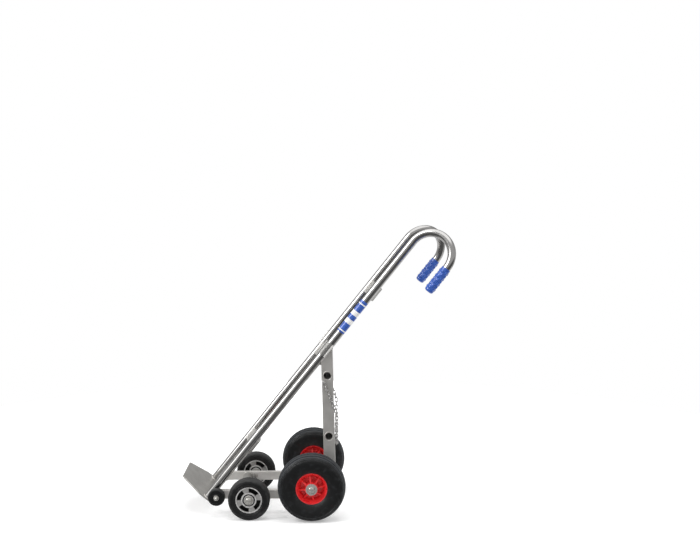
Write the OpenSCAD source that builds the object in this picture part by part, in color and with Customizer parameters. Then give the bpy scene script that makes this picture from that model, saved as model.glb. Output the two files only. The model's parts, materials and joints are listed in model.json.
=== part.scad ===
// Gas cylinder trolley, laid back on its four road wheels, with two toe rollers,
// cane handles, a strapped cradle and a safety chain hung between the struts.
// Origin on the floor at the middle of the outline. +X runs to the handles, +Z up.
// Each pair of like pieces is modelled for the right side (+Y) and mirrored.

/* [Side frames] */
// Distance between the centre planes of the two side frames
side_spacing = 260; // [240:1:320]
// Outside diameter of the side tubes
tube_d = 32; // [28:0.5:36]
// Wall of the side tubes
tube_wall = 2; // [1.5:0.1:3]
// Lean of the side tubes back from upright, in degrees
recline = 38.6; // [34:0.1:44]
// Straight length of a side tube from the toe plate to its bend
tube_straight = 1273; // [1100:1:1400]
// Radius of the hook bend, at the middle of the tube
bend_r = 87; // [75:1:110]
// Outward turn of the hook about its tube, in degrees
hook_splay = 27; // [10:1:32]
// Straight leg after the bend, inside the grip
grip_leg = 104; // [90:1:130]
// Thickness of the closed end of a grip
grip_end = 8; // [5:0.5:15]
// Thickness of a grip over its tube, at the waist
grip_wall = 3.7; // [2.5:0.1:5]
// Height of the rings on a grip
grip_wave = 0.9; // [0.5:0.1:1.5]
// Number of rings on a grip
grip_rings = 6; // [4:1:9]

/* [Rails and struts] */
// Height of the box section of the rails
rail_h = 35; // [32:0.5:45]
// Width of the box section of the struts
strut_w = 44; // [38:0.5:50]
// Thickness of both box sections
box_t = 20; // [18:0.5:25]
// Wall of both box sections
box_wall = 2; // [1.5:0.1:3]
// Outer corner radius of both box sections
box_corner = 2.5; // [2:0.1:3]
// Reach of the rails behind the struts
rail_tail = 2; // [1:0.5:40]
// Distance of the strut's foot behind the big axle
strut_back = 71; // [60:1:90]
// Forward lean of the struts, in degrees
strut_lean = 1.4; // [0:0.1:5]
// Length of the saddle over each tube at the strut's top
saddle_l = 57; // [40:1:80]
// Thickness of the saddles
saddle_t = 3; // [2:0.1:5]
// Thickness of the end caps of the rails
rail_cap_t = 3; // [2:0.5:5]
// Depth of the end caps inside the rails
rail_cap_depth = 12; // [8:1:20]

/* [Cross tubes] */
// Outside diameter of the cross tubes
cross_d = 33.7; // [25:0.1:34]
// Wall of the cross tubes
cross_wall = 3.2; // [2:0.1:4]
// Clearance of the upper cross tube behind the middle strap
upper_cross_clear = 13.5; // [4:0.5:20]
// Height of the lower cross tube
lower_cross_h = 308; // [270:1:340]
// Clearance of the front cross tube from the medium axle
front_cross_clear = 3; // [2:0.5:20]

/* [Cradle and toe plate] */
// Diameter of the load that the cradle takes
load_d = 375; // [340:1:400]
// Width of the cradle straps
strap_w = 58; // [40:1:80]
// Thickness of the cradle straps
strap_t = 4; // [3:0.5:6]
// Distance of the upper strap along the tubes from the toe plate
upper_strap_s = 1021; // [950:1:1100]
// Distance of the middle strap along the tubes below the tops of the struts
middle_strap_drop = 45; // [0:1:80]
// Distance of the lower strap along the tubes from the toe plate
lower_strap_s = 245; // [220:1:320]
// Distance of the tube feet ahead of the big axle
foot_reach = 406; // [400:0.5:430]
// Height of the middle of the tube feet
foot_h = 66.7; // [62:0.1:72]
// Reach of the toe plate ahead of the tubes
toe_reach = 125; // [90:1:180]
// Reach of the toe plate behind the middle of the tubes
toe_back = 18; // [17:0.5:24]
// Reach of the toe plate outside the tubes
toe_overhang = 1; // [0.5:0.5:4]
// Width of the toe plate at its front edge
toe_front_w = 200; // [120:1:280]
// Thickness of the toe plate
toe_t = 6; // [4:0.5:8]
// Corner radius of the toe plate
toe_corner = 16; // [8:1:24]

/* [Axles] */
// Diameter of both axles
axle_d = 20; // [16:0.5:22]
// Radial running clearance of the bearings on their axles
running_fit = 0.05; // [0.03:0.01:0.08]
// End play of each wheel on each side
end_play = 0.4; // [0.3:0.1:1]
// Radial gap of a pin, axle or weld in its hole
pin_gap = 0.1; // [0.05:0.01:0.2]
// Thickness of the lugs that carry the big axle
lug_t = 8; // [6:0.5:9]
// Half length of the lugs along the rails
lug_half = 58; // [52:1:70]
// Radius of the lugs round the big axle
lug_r = 25; // [20:1:32]
// Distance of the lug bolts from the big axle along the rails
lug_bolt_x = 38; // [30:1:44]
// Diameter of the lug bolts
lug_bolt_d = 10; // [8:1:10]
// Wall of the spacers on the axles
spacer_wall = 4; // [3:0.5:5]
// Thickness of the washers on the axles
washer_t = 3; // [2:0.5:4]
// Diameter of the washers of the big wheels
big_washer_d = 44; // [36:1:48]
// Reach of the axle ends past their washers
axle_tip = 5; // [4:0.5:8]
// Wall of the caps on the axle ends
cap_wall = 2; // [1.5:0.1:3]
// Height of the domes of the caps past the axle ends
cap_dome = 5; // [3:0.5:7]
// Diameter of the flange of the medium axle's caps
med_cap_d = 34; // [30:1:40]
// Thickness of the flange of the medium axle's caps
med_cap_flange = 2.5; // [2:0.5:4]

/* [Big wheels] */
// Diameter of the big wheels
big_d = 260; // [250:1:270]
// Width of the big tyres
big_w = 85; // [70:1:90]
// Distance of the big wheels outside the middle of the side frames
big_offset = 81; // [70:1:95]
// Diameter of the big hubs at the tyre
big_hub_d = 120; // [110:1:130]
// Width of the big hubs at the tyre
big_rim_w = 62; // [56:1:66]
// Height of the rib that keys the tyre to its hub
rim_key = 4; // [3:0.5:6]
// Width of the rib that keys the tyre to its hub
rim_key_w = 20; // [14:1:30]
// Width of the land round the edge of the big hubs
big_land = 2.5; // [2:0.5:4]
// Diameter of the dish of the big hubs at its web
big_dish_d = 84; // [80:1:100]
// Drop of the ribs of the big hubs below the end of the boss
rib_drop = 6; // [3:0.5:12]
// Height of the ribs of the big hubs where they meet the dish
rib_rim_h = 16; // [10:0.5:20]
// Thickness of the web of the big hubs
big_web = 8; // [6:0.5:12]
// Length of the boss of the big hubs
big_boss_l = 76; // [70:1:80]
// Wall of the boss round its bearings
big_boss_wall = 7; // [5:0.5:8]
// Number of ribs on each side of the big hubs
big_ribs = 8; // [5:1:10]
// Thickness of the ribs of the big hubs
big_rib_t = 5; // [3:0.5:7]
// Outside diameter of the bearings of the big wheels
big_bearing_d = 35; // [32:0.5:37]
// Length of the bearings of the big wheels
big_bearing_l = 18; // [12:0.5:24]
// Depth of the grooves in the big tyres
groove_depth = 3.5; // [2:0.5:5]
// Width of the grooves in the big tyres
groove_w = 4; // [2:0.5:6]

/* [Medium wheels] */
// Diameter of the medium wheels
med_d = 160; // [156:1:164]
// Width of the medium tyres
med_w = 50; // [40:1:54]
// Distance of the medium wheels outside the middle of the side frames
med_offset = 66; // [45:1:80]
// Place of the medium wheels between the toe rollers and the big wheels, as a share of the room
med_place = 0.33; // [0.2:0.01:0.8]
// Diameter of the medium hubs at the tyre
med_hub_d = 101; // [98:1:108]
// Thickness of the rim of the medium hubs
med_rim_t = 4; // [3:0.5:5]
// Width of the rim of the medium hubs
med_rim_w = 44; // [36:1:46]
// Thickness of the disc of the medium hubs
med_disc = 40; // [30:1:42]
// Depth of the ring groove in the faces of the medium hubs
med_groove = 6; // [3:0.5:10]
// Diameter of the boss of the medium hubs
med_boss_d = 58; // [50:1:60]
// Length of the boss of the medium hubs
med_boss_l = 48; // [46:1:56]
// Number of windows in the medium hubs
med_windows = 4; // [3:1:6]
// Width of the spokes between the windows, in degrees
med_spoke = 34; // [16:1:40]
// Thickness of the web behind the windows
med_web = 8; // [5:0.5:12]
// Outside diameter of the bearings of the medium wheels
med_bearing_d = 30; // [26:0.5:32]
// Length of the bearings of the medium wheels
med_bearing_l = 16; // [12:0.5:20]
// Radius of the shoulders of the medium tyres
med_shoulder = 12; // [8:0.5:18]

/* [Toe rollers] */
// Diameter of the toe rollers
roller_d = 65; // [56:1:66]
// Width of the toe rollers
roller_w = 28; // [24:0.5:30]
// Distance of the toe rollers outside the middle of the side frames
roller_offset = 42; // [33:0.5:50]
// Metal left between the roller bolts and the side tubes
roller_web = 1; // [1:0.1:8]
// Height of the roller bolts
roller_h = 80; // [75:0.5:84]
// Diameter of the roller bolts
roller_bolt_d = 10; // [10:1:12]
// Wall of the roller bushes
bush_wall = 3; // [2:0.5:5]
// Depth of the recess in the faces of the rollers
roller_recess = 3; // [1:0.5:5]
// Wall of the roller spacers
roller_spacer_wall = 4; // [3:0.5:6]
// Thickness of the roller washers
roller_washer_t = 2; // [1.5:0.5:3]

/* [Chain] */
// Diameter of the chain's wire
wire_d = 4; // [3:0.5:4.5]
// Inner length of a link
link_in_l = 16.4; // [16:0.1:24]
// Inner width of a link
link_in_w = 6.6; // [6.2:0.1:8]
// Slack between two links
link_slack = 0.4; // [0.3:0.1:0.8]
// Distance of the chain's eyes below the upper cross tube
eye_drop = 6; // [4:0.5:20]
// Distance of the eyes behind the front edge of the struts
eye_inset = 7; // [6:0.5:12]
// Diameter of the wire of the eyes
eye_wire = 5; // [4:0.5:5]
// Half distance between the legs of the eyes
eye_half = 7; // [6.5:0.5:9]
// Slant of the chain across the struts, in degrees from upright
chain_slant = 22.5; // [18:0.5:28]
// Clearance of the chain from the struts
chain_clear = 1.2; // [1:0.1:2]
// Length of the chain over which its links turn before the struts' rear edges
twist_before = 78; // [50:1:80]
// Length of the chain over which its links turn after the struts' rear edges
twist_after = 12; // [10:1:26]
// Radius of the hook's bends, at the middle of its wire
hook_r = 5.5; // [5:0.1:7]
// Wrap of the hook's bend over its eye, in degrees
hook_wrap = 215; // [190:5:240]

/* [Hidden] */
$fn = 64;

// Reach of a cut past the face that it opens
past = 1;
// Length that runs clear through any piece of the trolley
through = 2000;

// A length taken to a hundredth of a millimetre, for faces that have to meet
function hundredths(v) = round(100 * v) / 100;

// Side planes and the lines of the two box sections
side_y = side_spacing / 2;
outer_y = side_y + box_t / 2;
inner_y = side_y - box_t / 2;
tube_r = tube_d / 2;
rail_z = med_d / 2;
rail_top = rail_z + rail_h / 2;

// Reach of the outline, from which the origin is taken
front_reach = foot_reach + toe_t * sin(recline) + toe_reach * cos(recline);
bend_run = bend_r * cos(hook_splay) * cos(recline);
rear_reach = tube_straight * sin(recline) - foot_reach + bend_run
  + sqrt(pow(bend_r * sin(recline), 2) + pow(bend_run, 2)) + tube_r;
big_x = hundredths((front_reach - rear_reach) / 2);
big_z = big_d / 2;
foot_x = big_x - foot_reach;
roller_n = tube_r + roller_bolt_d / 2 + roller_web;
roller_x = foot_x + (roller_n + (roller_h - foot_h) * sin(recline)) / cos(recline);
wheel_room = big_x - roller_x - (big_d + roller_d) / 2 - med_d;
med_x = roller_x + roller_d / 2 + med_place * wheel_room + med_d / 2;
strut_x = big_x + strut_back;
rail_end_x = strut_x + strut_w / 2 + rail_tail;
front_cross_x = med_x - axle_d / 2 - cross_d / 2 - front_cross_clear;

// Middle of a strut at a height
function strut_x_at(z) = strut_x - (z - rail_top) * tan(strut_lean);
// Distance along the tubes where the middle of a strut meets them
saddle_s = (strut_back + foot_reach - (foot_h - rail_top) * tan(strut_lean))
  / (sin(recline) + cos(recline) * tan(strut_lean));

// Middle of the load, ahead of the plane of the tubes that it leans on
load_r = load_d / 2;
load_n = sqrt(pow(load_r + tube_r, 2) - pow(side_y, 2));
strap_gap = 0.5;
// Reach of the straps behind the plane of the tubes
strap_n = load_r + strap_gap + strap_t - load_n;
// Height at which the middle of a strut is a distance behind the plane of the tubes
function strut_h_at(n) = ((strut_x + rail_top * tan(strut_lean) - foot_x) * cos(recline)
  + foot_h * sin(recline) - n) / (tan(strut_lean) * cos(recline) + sin(recline));
upper_cross_h = strut_h_at(strap_n + upper_cross_clear + cross_d / 2);

// Lip in each hub behind its bearings
bearing_lip = 2;
// Planes of the wheels, from the middle of the trolley outwards
big_y = side_y + big_offset;
med_y = side_y + med_offset;
roller_y = side_y + roller_offset;
axle_r = axle_d / 2;
lug_y = outer_y + lug_t;
big_hub_r = big_hub_d / 2;
big_boss_r = big_bearing_d / 2 + big_boss_wall;
med_hub_r = med_hub_d / 2;
big_washer_y = big_y + big_boss_l / 2 + end_play;
med_washer_y = med_y + med_boss_l / 2 + end_play;
bush_play = 0.3;
roller_washer_y = roller_y + roller_w / 2 + 2 * bush_play;
roller_nut_y = roller_washer_y + roller_washer_t;

// Sizes of hexagon heads and nuts for a thread
function hex_d(thread) = 1.85 * thread;
function head_h(thread) = 0.64 * thread;
function nut_h(thread) = 0.8 * thread;

// The chain's route: down across the left strut's face, round its rear edge, in a
// hanging curve to the right strut, and back up to the eye there
link_w = link_in_w + 2 * wire_d;
link_r = (link_in_w + wire_d) / 2;
link_straight = link_in_l - link_in_w;
crown = link_straight / 2 + link_r;
stand = link_w / 2 + chain_clear;
eye_h = upper_cross_h - cross_d / 2 - eye_drop;
eye_x = strut_x_at(eye_h) - strut_w / 2 + eye_inset;
edge_x = strut_x_at(lower_cross_h) + strut_w / 2;
steep = 1 / tan(chain_slant);
face_run = (edge_x - eye_x) / sin(chain_slant);
corner_run = stand * PI / 2 / sin(chain_slant);
curve_a = outer_y / ln(steep + sqrt(steep * steep + 1));
curve_half = curve_a * steep;
half_run = face_run + corner_run + curve_half;
curve_top = eye_h - (face_run + corner_run) * cos(chain_slant);
// Start of the first link, which hangs on the lower leg of its eye
eye_room = 0.3;
chain_start = eye_half - (eye_wire + wire_d) / 2 - eye_room + crown - (link_in_l - link_slack) / 2;
// An even number of link lengths between the two eyes, the last two of them the hook's
chain_steps = 2 * ceil((half_run - chain_start) / (link_in_l - link_slack));
link_step = 2 * (half_run - chain_start) / chain_steps;
hook_at = chain_steps - 2;
// First link that hangs clear of the left strut
swag_first = 2 * ceil((face_run + corner_run - chain_start) / link_step / 2);

function arc_h(x) = ln(x + sqrt(x * x + 1));
function turn(run) = (run - face_run) * sin(chain_slant) / stand * 180 / PI;
function curve_left(run) = half_run - run;
function chain_left(run) =
  run < face_run
  ? [eye_x + run * sin(chain_slant), -outer_y - stand, eye_h - run * cos(chain_slant)]
  : run < face_run + corner_run
  ? [edge_x + stand * sin(turn(run)), -outer_y - stand * cos(turn(run)), eye_h - run * cos(chain_slant)]
  : [edge_x + stand, -curve_a * arc_h(curve_left(run) / curve_a),
     curve_top - sqrt(curve_a * curve_a + curve_half * curve_half)
     + sqrt(curve_a * curve_a + pow(curve_left(run), 2))];
// Turn of the links about the upright, spread past both ends of the corner
function twist(run) =
  90 * min(1, max(0, (run - face_run + twist_before) / (twist_before + corner_run + twist_after)));
function face_left(run) = [sin(twist(run)), -cos(twist(run)), 0];
function flip_y(p) = [p.x, -p.y, p.z];
function chain_at(run) = run <= half_run ? chain_left(run) : flip_y(chain_left(2 * half_run - run));
function face_at(run) = run <= half_run ? face_left(run) : flip_y(face_left(2 * half_run - run));
function joint_at(i) = chain_at(chain_start + i * link_step);
function unit(v) = v / norm(v);
function along(i, span) = unit(joint_at(i + span) - joint_at(i));
function middle(i, span) = (joint_at(i) + joint_at(i + span)) / 2;
function outward(i, span) = face_at(chain_start + (i + span / 2) * link_step);
// Middle of the wire at the upper end of link i
function crown_at(i) = middle(i, 1) - crown * along(i, 1);

// Points of a curve with one control point
function bend(a, b, c, steps) =
  [for (i = [0:steps - 1]) let (u = i / steps)
    (1 - u) * (1 - u) * a + 2 * u * (1 - u) * b + u * u * c];
// Corner points of an outline with each corner rounded
function rounded(points, radius, steps = 6) =
  [for (i = [0:len(points) - 1])
    let (p = points[i],
         before = unit(points[(i + len(points) - 1) % len(points)] - p),
         after = unit(points[(i + 1) % len(points)] - p),
         half = acos(before * after) / 2,
         hub = p + unit(before + after) * radius / sin(half),
         start = p + before * radius / tan(half) - hub,
         end = p + after * radius / tan(half) - hub)
    for (k = [0:steps])
      hub + radius * unit((start * sin((1 - k / steps) * (90 - half) * 2)
        + end * sin(k / steps * (90 - half) * 2)))];
// Outline points and the same points turned over to the other side of a wheel
function both_sides(points) =
  concat(points, [for (i = [len(points) - 1:-1:0]) [points[i].x, -points[i].y]]);

// Frames of reference

module on_side(right) {
  mirror([0, right ? 0 : 1, 0]) children();
}

module both() {
  on_side(true) children();
  on_side(false) children();
}

// Along the side tubes: Z runs up the tubes and X out behind them
module on_tubes() {
  translate([foot_x, 0, foot_h]) rotate([0, recline, 0]) children();
}

// At the top of a right-hand hook: X runs across the hook
module on_hook() {
  on_tubes() translate([0, side_y, tube_straight]) rotate([0, 0, hook_splay]) children();
}

// On a cross axis: Z runs outwards on the right-hand side
module on_axis(x, z, y = 0) {
  translate([x, y, z]) rotate([-90, 0, 0]) children();
}

// Up a right-hand strut from the top of its rail
module on_strut() {
  translate([strut_x, side_y, rail_top]) rotate([0, -strut_lean, 0]) children();
}

// With X along the chain and Z off the surface that it lies on
module on_chain(i, span) {
  t = along(i, span);
  side = unit(cross(outward(i, span), t));
  up = cross(t, side);
  m = middle(i, span);
  multmatrix([[t.x, side.x, up.x, m.x], [t.y, side.y, up.y, m.y], [t.z, side.z, up.z, m.z]]) children();
}

// Shared shapes

module ring(outer, inner, h) {
  difference() {
    cylinder(r = outer, h = h);
    translate([0, 0, -past]) cylinder(r = inner, h = h + 2 * past);
  }
}

module box_outline(w, t, r) {
  square([w - 2 * r, t], center = true);
  square([w, t - 2 * r], center = true);
  for (x = [-1, 1], y = [-1, 1]) translate([x * (w / 2 - r), y * (t / 2 - r)]) circle(r);
}

module box_section(w, t) {
  difference() {
    box_outline(w, t, box_corner);
    square([w - 2 * box_wall, t - 2 * box_wall], center = true);
  }
}

// Room that a right-hand side tube and everything ahead of it takes
module tube_cut() {
  on_tubes() translate([0, side_y, 0]) {
    translate([0, 0, -through / 2]) cylinder(r = tube_r + pin_gap, h = through);
    translate([-through, -through / 2, -through / 2]) cube(through);
  }
}

// Side frames

module side_tube(right) {
  bore_r = tube_r - tube_wall;
  color("gainsboro") on_side(right) on_hook() {
    translate([0, 0, -tube_straight]) ring(tube_r, bore_r, tube_straight);
    translate([bend_r, 0, 0]) rotate([90, 0, 0]) rotate_extrude(angle = 180) translate([bend_r, 0])
      difference() {
        circle(tube_r);
        circle(bore_r);
      }
    translate([2 * bend_r, 0, -grip_leg]) ring(tube_r, bore_r, grip_leg);
  }
}
module left_side_tube() { side_tube(false); }
module right_side_tube() { side_tube(true); }

// Points along one ring of a grip, and the fullness of its closed end
ring_steps = 8;
end_round = 0.6;
module grip(right) {
  waist = tube_r + grip_wall;
  outside = [for (i = [0:ring_steps * grip_rings])
    [waist + grip_wave * (1 - cos(360 * i / ring_steps)), -i * grip_leg / grip_rings / ring_steps]];
  end = [for (a = [15:15:90]) [waist * pow(cos(a), end_round), -grip_leg - grip_end * sin(a)]];
  color("royalblue") on_side(right) on_hook() translate([2 * bend_r, 0, 0])
    rotate_extrude()
      polygon(concat([[tube_r, 0]], outside, end, [[0, -grip_leg], [tube_r, -grip_leg]]));
}
module left_grip() { grip(false); }
module right_grip() { grip(true); }

// Rails, struts and saddles

module cross_holes(r) {
  for (z = [upper_cross_h, lower_cross_h])
    on_axis(strut_x_at(z), z, side_y - box_t) cylinder(r = r, h = 2 * box_t);
}

module strut(right) {
  color("darkgray") on_side(right) difference() {
    on_strut() translate([0, 0, -strut_w]) linear_extrude(saddle_s) box_section(strut_w, box_t);
    translate([strut_x - through / 2, 0, rail_top - through]) cube(through);
    tube_cut();
    cross_holes(cross_d / 2 + pin_gap);
  }
}
module left_strut() { strut(false); }
module right_strut() { strut(true); }

// Angles of the saddle's two edges, from straight out behind the tube
saddle_from = 58;
saddle_to = 205;
module saddle(right) {
  color("darkgray") on_side(right) on_tubes()
    translate([0, side_y, saddle_s - saddle_l / 2]) rotate([0, 0, saddle_from])
      rotate_extrude(angle = saddle_to - saddle_from)
        translate([tube_r + pin_gap, 0]) square([saddle_t, saddle_l]);
}
module left_saddle() { saddle(false); }
module right_saddle() { saddle(true); }

module rail_holes() {
  on_axis(med_x, rail_z, side_y - box_t) cylinder(r = axle_r + pin_gap, h = 2 * box_t);
  on_axis(roller_x, roller_h, side_y - box_t) cylinder(r = roller_bolt_d / 2 + pin_gap, h = 2 * box_t);
  for (x = [-1, 1]) on_axis(big_x + x * lug_bolt_x, rail_z, side_y - box_t)
    cylinder(r = lug_bolt_d / 2 + pin_gap, h = 2 * box_t);
}

module rail(right) {
  color("darkgray") on_side(right) difference() {
    translate([foot_x, side_y, rail_z]) rotate([0, 90, 0])
      linear_extrude(rail_end_x - foot_x) box_section(rail_h, box_t);
    tube_cut();
    rail_holes();
  }
}
module left_rail() { rail(false); }
module right_rail() { rail(true); }

module rail_end_caps() {
  inside = box_wall + pin_gap;
  color("dimgray") both() translate([rail_end_x, side_y, rail_z]) rotate([0, 90, 0]) {
    linear_extrude(rail_cap_t) box_outline(rail_h, box_t, box_corner);
    translate([0, 0, -rail_cap_depth]) linear_extrude(rail_cap_depth)
      square([rail_h - 2 * inside, box_t - 2 * inside], center = true);
  }
}

// Cross tubes

module cross_tube(x, z, half) {
  color("gainsboro") on_axis(x, z, -half) ring(cross_d / 2, cross_d / 2 - cross_wall, 2 * half);
}
module upper_cross_tube() { cross_tube(strut_x_at(upper_cross_h), upper_cross_h, outer_y); }
module lower_cross_tube() { cross_tube(strut_x_at(lower_cross_h), lower_cross_h, outer_y); }
module front_cross_tube() { cross_tube(front_cross_x, rail_z, inner_y); }

// Cradle and toe plate

module cradle_strap(s) {
  reach = atan2(side_y, load_n);
  color("darkgray") on_tubes() difference() {
    translate([-load_n, 0, s - strap_w / 2]) rotate([0, 0, -reach]) rotate_extrude(angle = 2 * reach)
      translate([load_r + strap_gap, 0]) square([strap_t, strap_w]);
    for (y = [-1, 1]) translate([0, y * side_y, s - strap_w])
      cylinder(r = tube_r + pin_gap, h = 2 * strap_w);
  }
}
module upper_cradle_strap() { cradle_strap(upper_strap_s); }
module middle_cradle_strap() { cradle_strap(saddle_s - middle_strap_drop); }
module lower_cradle_strap() { cradle_strap(lower_strap_s); }

module toe_plate() {
  half = side_y + tube_r + toe_overhang;
  front = toe_front_w / 2;
  outline = [[toe_back, -half], [toe_back, half], [-2 * toe_back, half],
    [-toe_reach, front], [-toe_reach, -front], [-2 * toe_back, -half]];
  color("darkgray") on_tubes() translate([0, 0, -toe_t]) linear_extrude(toe_t)
    polygon(rounded(outline, toe_corner));
}

// Axle lugs and their bolts

// Points round the top of a lug
lug_steps = 20;
module axle_lug(right) {
  low = rail_z - rail_h / 2 + box_corner;
  rise = big_z - rail_top;
  // Where the straight edges meet the round top, from level with the axle
  meet = acos(lug_r / norm([lug_half, rise])) - atan2(rise, lug_half);
  arc = [for (k = [0:lug_steps]) let (a = meet + (180 - 2 * meet) * k / lug_steps)
    [lug_r * cos(a), big_z + lug_r * sin(a)]];
  color("darkgray") on_side(right) difference() {
    translate([big_x, lug_y, 0]) rotate([90, 0, 0]) linear_extrude(lug_t)
      polygon(concat(arc, [[-lug_half, rail_top], [-lug_half, low], [lug_half, low], [lug_half, rail_top]]));
    on_axis(big_x, big_z, outer_y - past) cylinder(r = axle_r + pin_gap, h = lug_t + 2 * past);
    for (x = [-1, 1]) on_axis(big_x + x * lug_bolt_x, rail_z, outer_y - past)
      cylinder(r = lug_bolt_d / 2 + pin_gap, h = lug_t + 2 * past);
  }
}
module left_axle_lug() { axle_lug(false); }
module right_axle_lug() { axle_lug(true); }

module at_lug_bolts() {
  both() for (x = [-1, 1]) on_axis(big_x + x * lug_bolt_x, rail_z, 0) children();
}

module lug_bolts() {
  nut = nut_h(lug_bolt_d);
  bolt_tip = 2;
  color("silver") at_lug_bolts() {
    translate([0, 0, lug_y]) cylinder(d = hex_d(lug_bolt_d), h = head_h(lug_bolt_d), $fn = 6);
    translate([0, 0, inner_y - nut - bolt_tip]) cylinder(d = lug_bolt_d, h = lug_y - inner_y + nut + bolt_tip);
  }
}

module lug_nuts() {
  nut = nut_h(lug_bolt_d);
  color("silver") at_lug_bolts() translate([0, 0, inner_y - nut]) difference() {
    cylinder(d = hex_d(lug_bolt_d), h = nut, $fn = 6);
    translate([0, 0, -past]) cylinder(r = lug_bolt_d / 2 + pin_gap, h = nut + 2 * past);
  }
}

// Axles with their spacers, washers and caps

module axle(x, z, washer_y) {
  half = washer_y + washer_t + axle_tip;
  color("silver") on_axis(x, z, -half) cylinder(r = axle_r, h = 2 * half);
}
module big_axle() { axle(big_x, big_z, big_washer_y); }
module medium_axle() { axle(med_x, rail_z, med_washer_y); }

module spacers(x, z, from_y, to_y) {
  color("silver") both() on_axis(x, z, from_y)
    ring(axle_r + pin_gap + spacer_wall, axle_r + pin_gap, to_y - from_y);
}
module big_axle_spacers() { spacers(big_x, big_z, lug_y, big_y - big_boss_l / 2 - end_play); }
module medium_axle_spacers() { spacers(med_x, rail_z, outer_y, med_y - med_boss_l / 2 - end_play); }

module washers(x, z, y, r) {
  color("silver") both() on_axis(x, z, y) ring(r, axle_r + pin_gap, washer_t);
}
module big_axle_washers() { washers(big_x, big_z, big_washer_y, big_washer_d / 2); }
module medium_axle_washers() { washers(med_x, rail_z, med_washer_y, med_cap_d / 2); }

// A pressed cap, from its washer to the top of its dome
module axle_cap(flange_r, flange_t) {
  bore = axle_r + pin_gap;
  r = bore + cap_wall;
  dome = [for (a = [0:10:90]) [r * cos(a), axle_tip + cap_dome * sin(a)]];
  color("silver") rotate_extrude()
    polygon(concat([[bore, 0], [flange_r, 0], [flange_r, flange_t], [r, flange_t]], dome,
      [[0, axle_tip + pin_gap], [bore, axle_tip + pin_gap]]));
}
module big_axle_caps() {
  both() on_axis(big_x, big_z, big_washer_y + washer_t)
    axle_cap(axle_r + 2 * cap_wall, axle_tip);
}
module medium_axle_caps() {
  both() on_axis(med_x, rail_z, med_washer_y + washer_t) axle_cap(med_cap_d / 2, med_cap_flange);
}

// Big wheels

module big_tyre(right) {
  bead = big_rim_w / 2;
  r = big_d / 2;
  w = big_w / 2;
  wall_r = (big_hub_r + r) / 2;
  tread = 0.6 * w;
  crown_drop = 4;
  grooves = [0.22 * w, 0.62 * w];
  outline = concat([[big_hub_r + rim_key, 0], [big_hub_r + rim_key, rim_key_w / 2], [big_hub_r, rim_key_w / 2]],
    bend([big_hub_r, bead], [big_hub_r + 0.4 * (wall_r - big_hub_r), w], [wall_r, w], 6),
    bend([wall_r, w], [r - 2 * crown_drop, w], [r - crown_drop, tread], 8),
    bend([r - crown_drop, tread], [r, tread / 2], [r, 0], 4), [[r, 0]]);
  color("black") on_side(right) on_axis(big_x, big_z, big_y) rotate_extrude() difference() {
    polygon(both_sides(outline));
    for (y = grooves, side = [-1, 1])
      translate([r - crown_drop - groove_depth, side * y - groove_w / 2])
        square([big_d, groove_w]);
  }
}
module left_big_tyre() { big_tyre(false); }
module right_big_tyre() { big_tyre(true); }

module big_hub(right) {
  bead = big_rim_w / 2;
  web = big_web / 2;
  key = rim_key_w / 2;
  land_r = big_hub_r - big_land;
  dish_r = big_dish_d / 2;
  boss = big_boss_l / 2;
  bore_r = big_bearing_d / 2 - bearing_lip;
  rib_turn = 36.5;
  outline = [[bore_r, boss], [big_boss_r, boss], [big_boss_r, web], [dish_r, web], [land_r, bead],
    [big_hub_r, bead], [big_hub_r, key], [big_hub_r + rim_key, key]];
  rib_r = dish_r + (land_r - dish_r) * (rib_rim_h - web) / (bead - web);
  color("crimson") on_side(right) on_axis(big_x, big_z, big_y) difference() {
    union() {
      rotate_extrude() polygon(both_sides(outline));
      for (i = [0:big_ribs - 1], side = [0, 1])
        rotate([180 * side, 0, 360 / big_ribs * i + rib_turn]) rotate([90, 0, 0])
          translate([0, 0, -big_rib_t / 2]) linear_extrude(big_rib_t)
            polygon([[big_boss_r - past, 0], [dish_r + past, 0], [rib_r + past, rib_rim_h],
              [big_boss_r - past, boss - rib_drop]]);
    }
    for (side = [0, 1]) rotate([180 * side, 0, 0]) translate([0, 0, boss - big_bearing_l])
      cylinder(d = big_bearing_d, h = big_bearing_l + past);
  }
}
module left_big_hub() { big_hub(false); }
module right_big_hub() { big_hub(true); }

module bearings(x, z, y, boss, d, l) {
  color("silver") on_axis(x, z, y) for (side = [0, 1]) rotate([180 * side, 0, 0])
    translate([0, 0, boss / 2 - l]) ring(d / 2, axle_r + running_fit, l);
}
module big_bearings(right) {
  on_side(right) bearings(big_x, big_z, big_y, big_boss_l, big_bearing_d, big_bearing_l);
}
module left_big_bearings() { big_bearings(false); }
module right_big_bearings() { big_bearings(true); }

// Medium wheels

module medium_tyre(right) {
  r = med_d / 2;
  w = med_w / 2;
  arc = [for (a = [0:15:90])
    [r - med_shoulder + med_shoulder * cos(a), w - med_shoulder + med_shoulder * sin(a)]];
  foot = [[med_hub_r + med_shoulder / 2, w], [med_hub_r, med_rim_w / 2]];
  outline = concat([[r, 0]], arc, foot);
  color("black") on_side(right) on_axis(med_x, rail_z, med_y) rotate_extrude()
    polygon(both_sides(outline));
}
module left_medium_tyre() { medium_tyre(false); }
module right_medium_tyre() { medium_tyre(true); }

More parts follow.
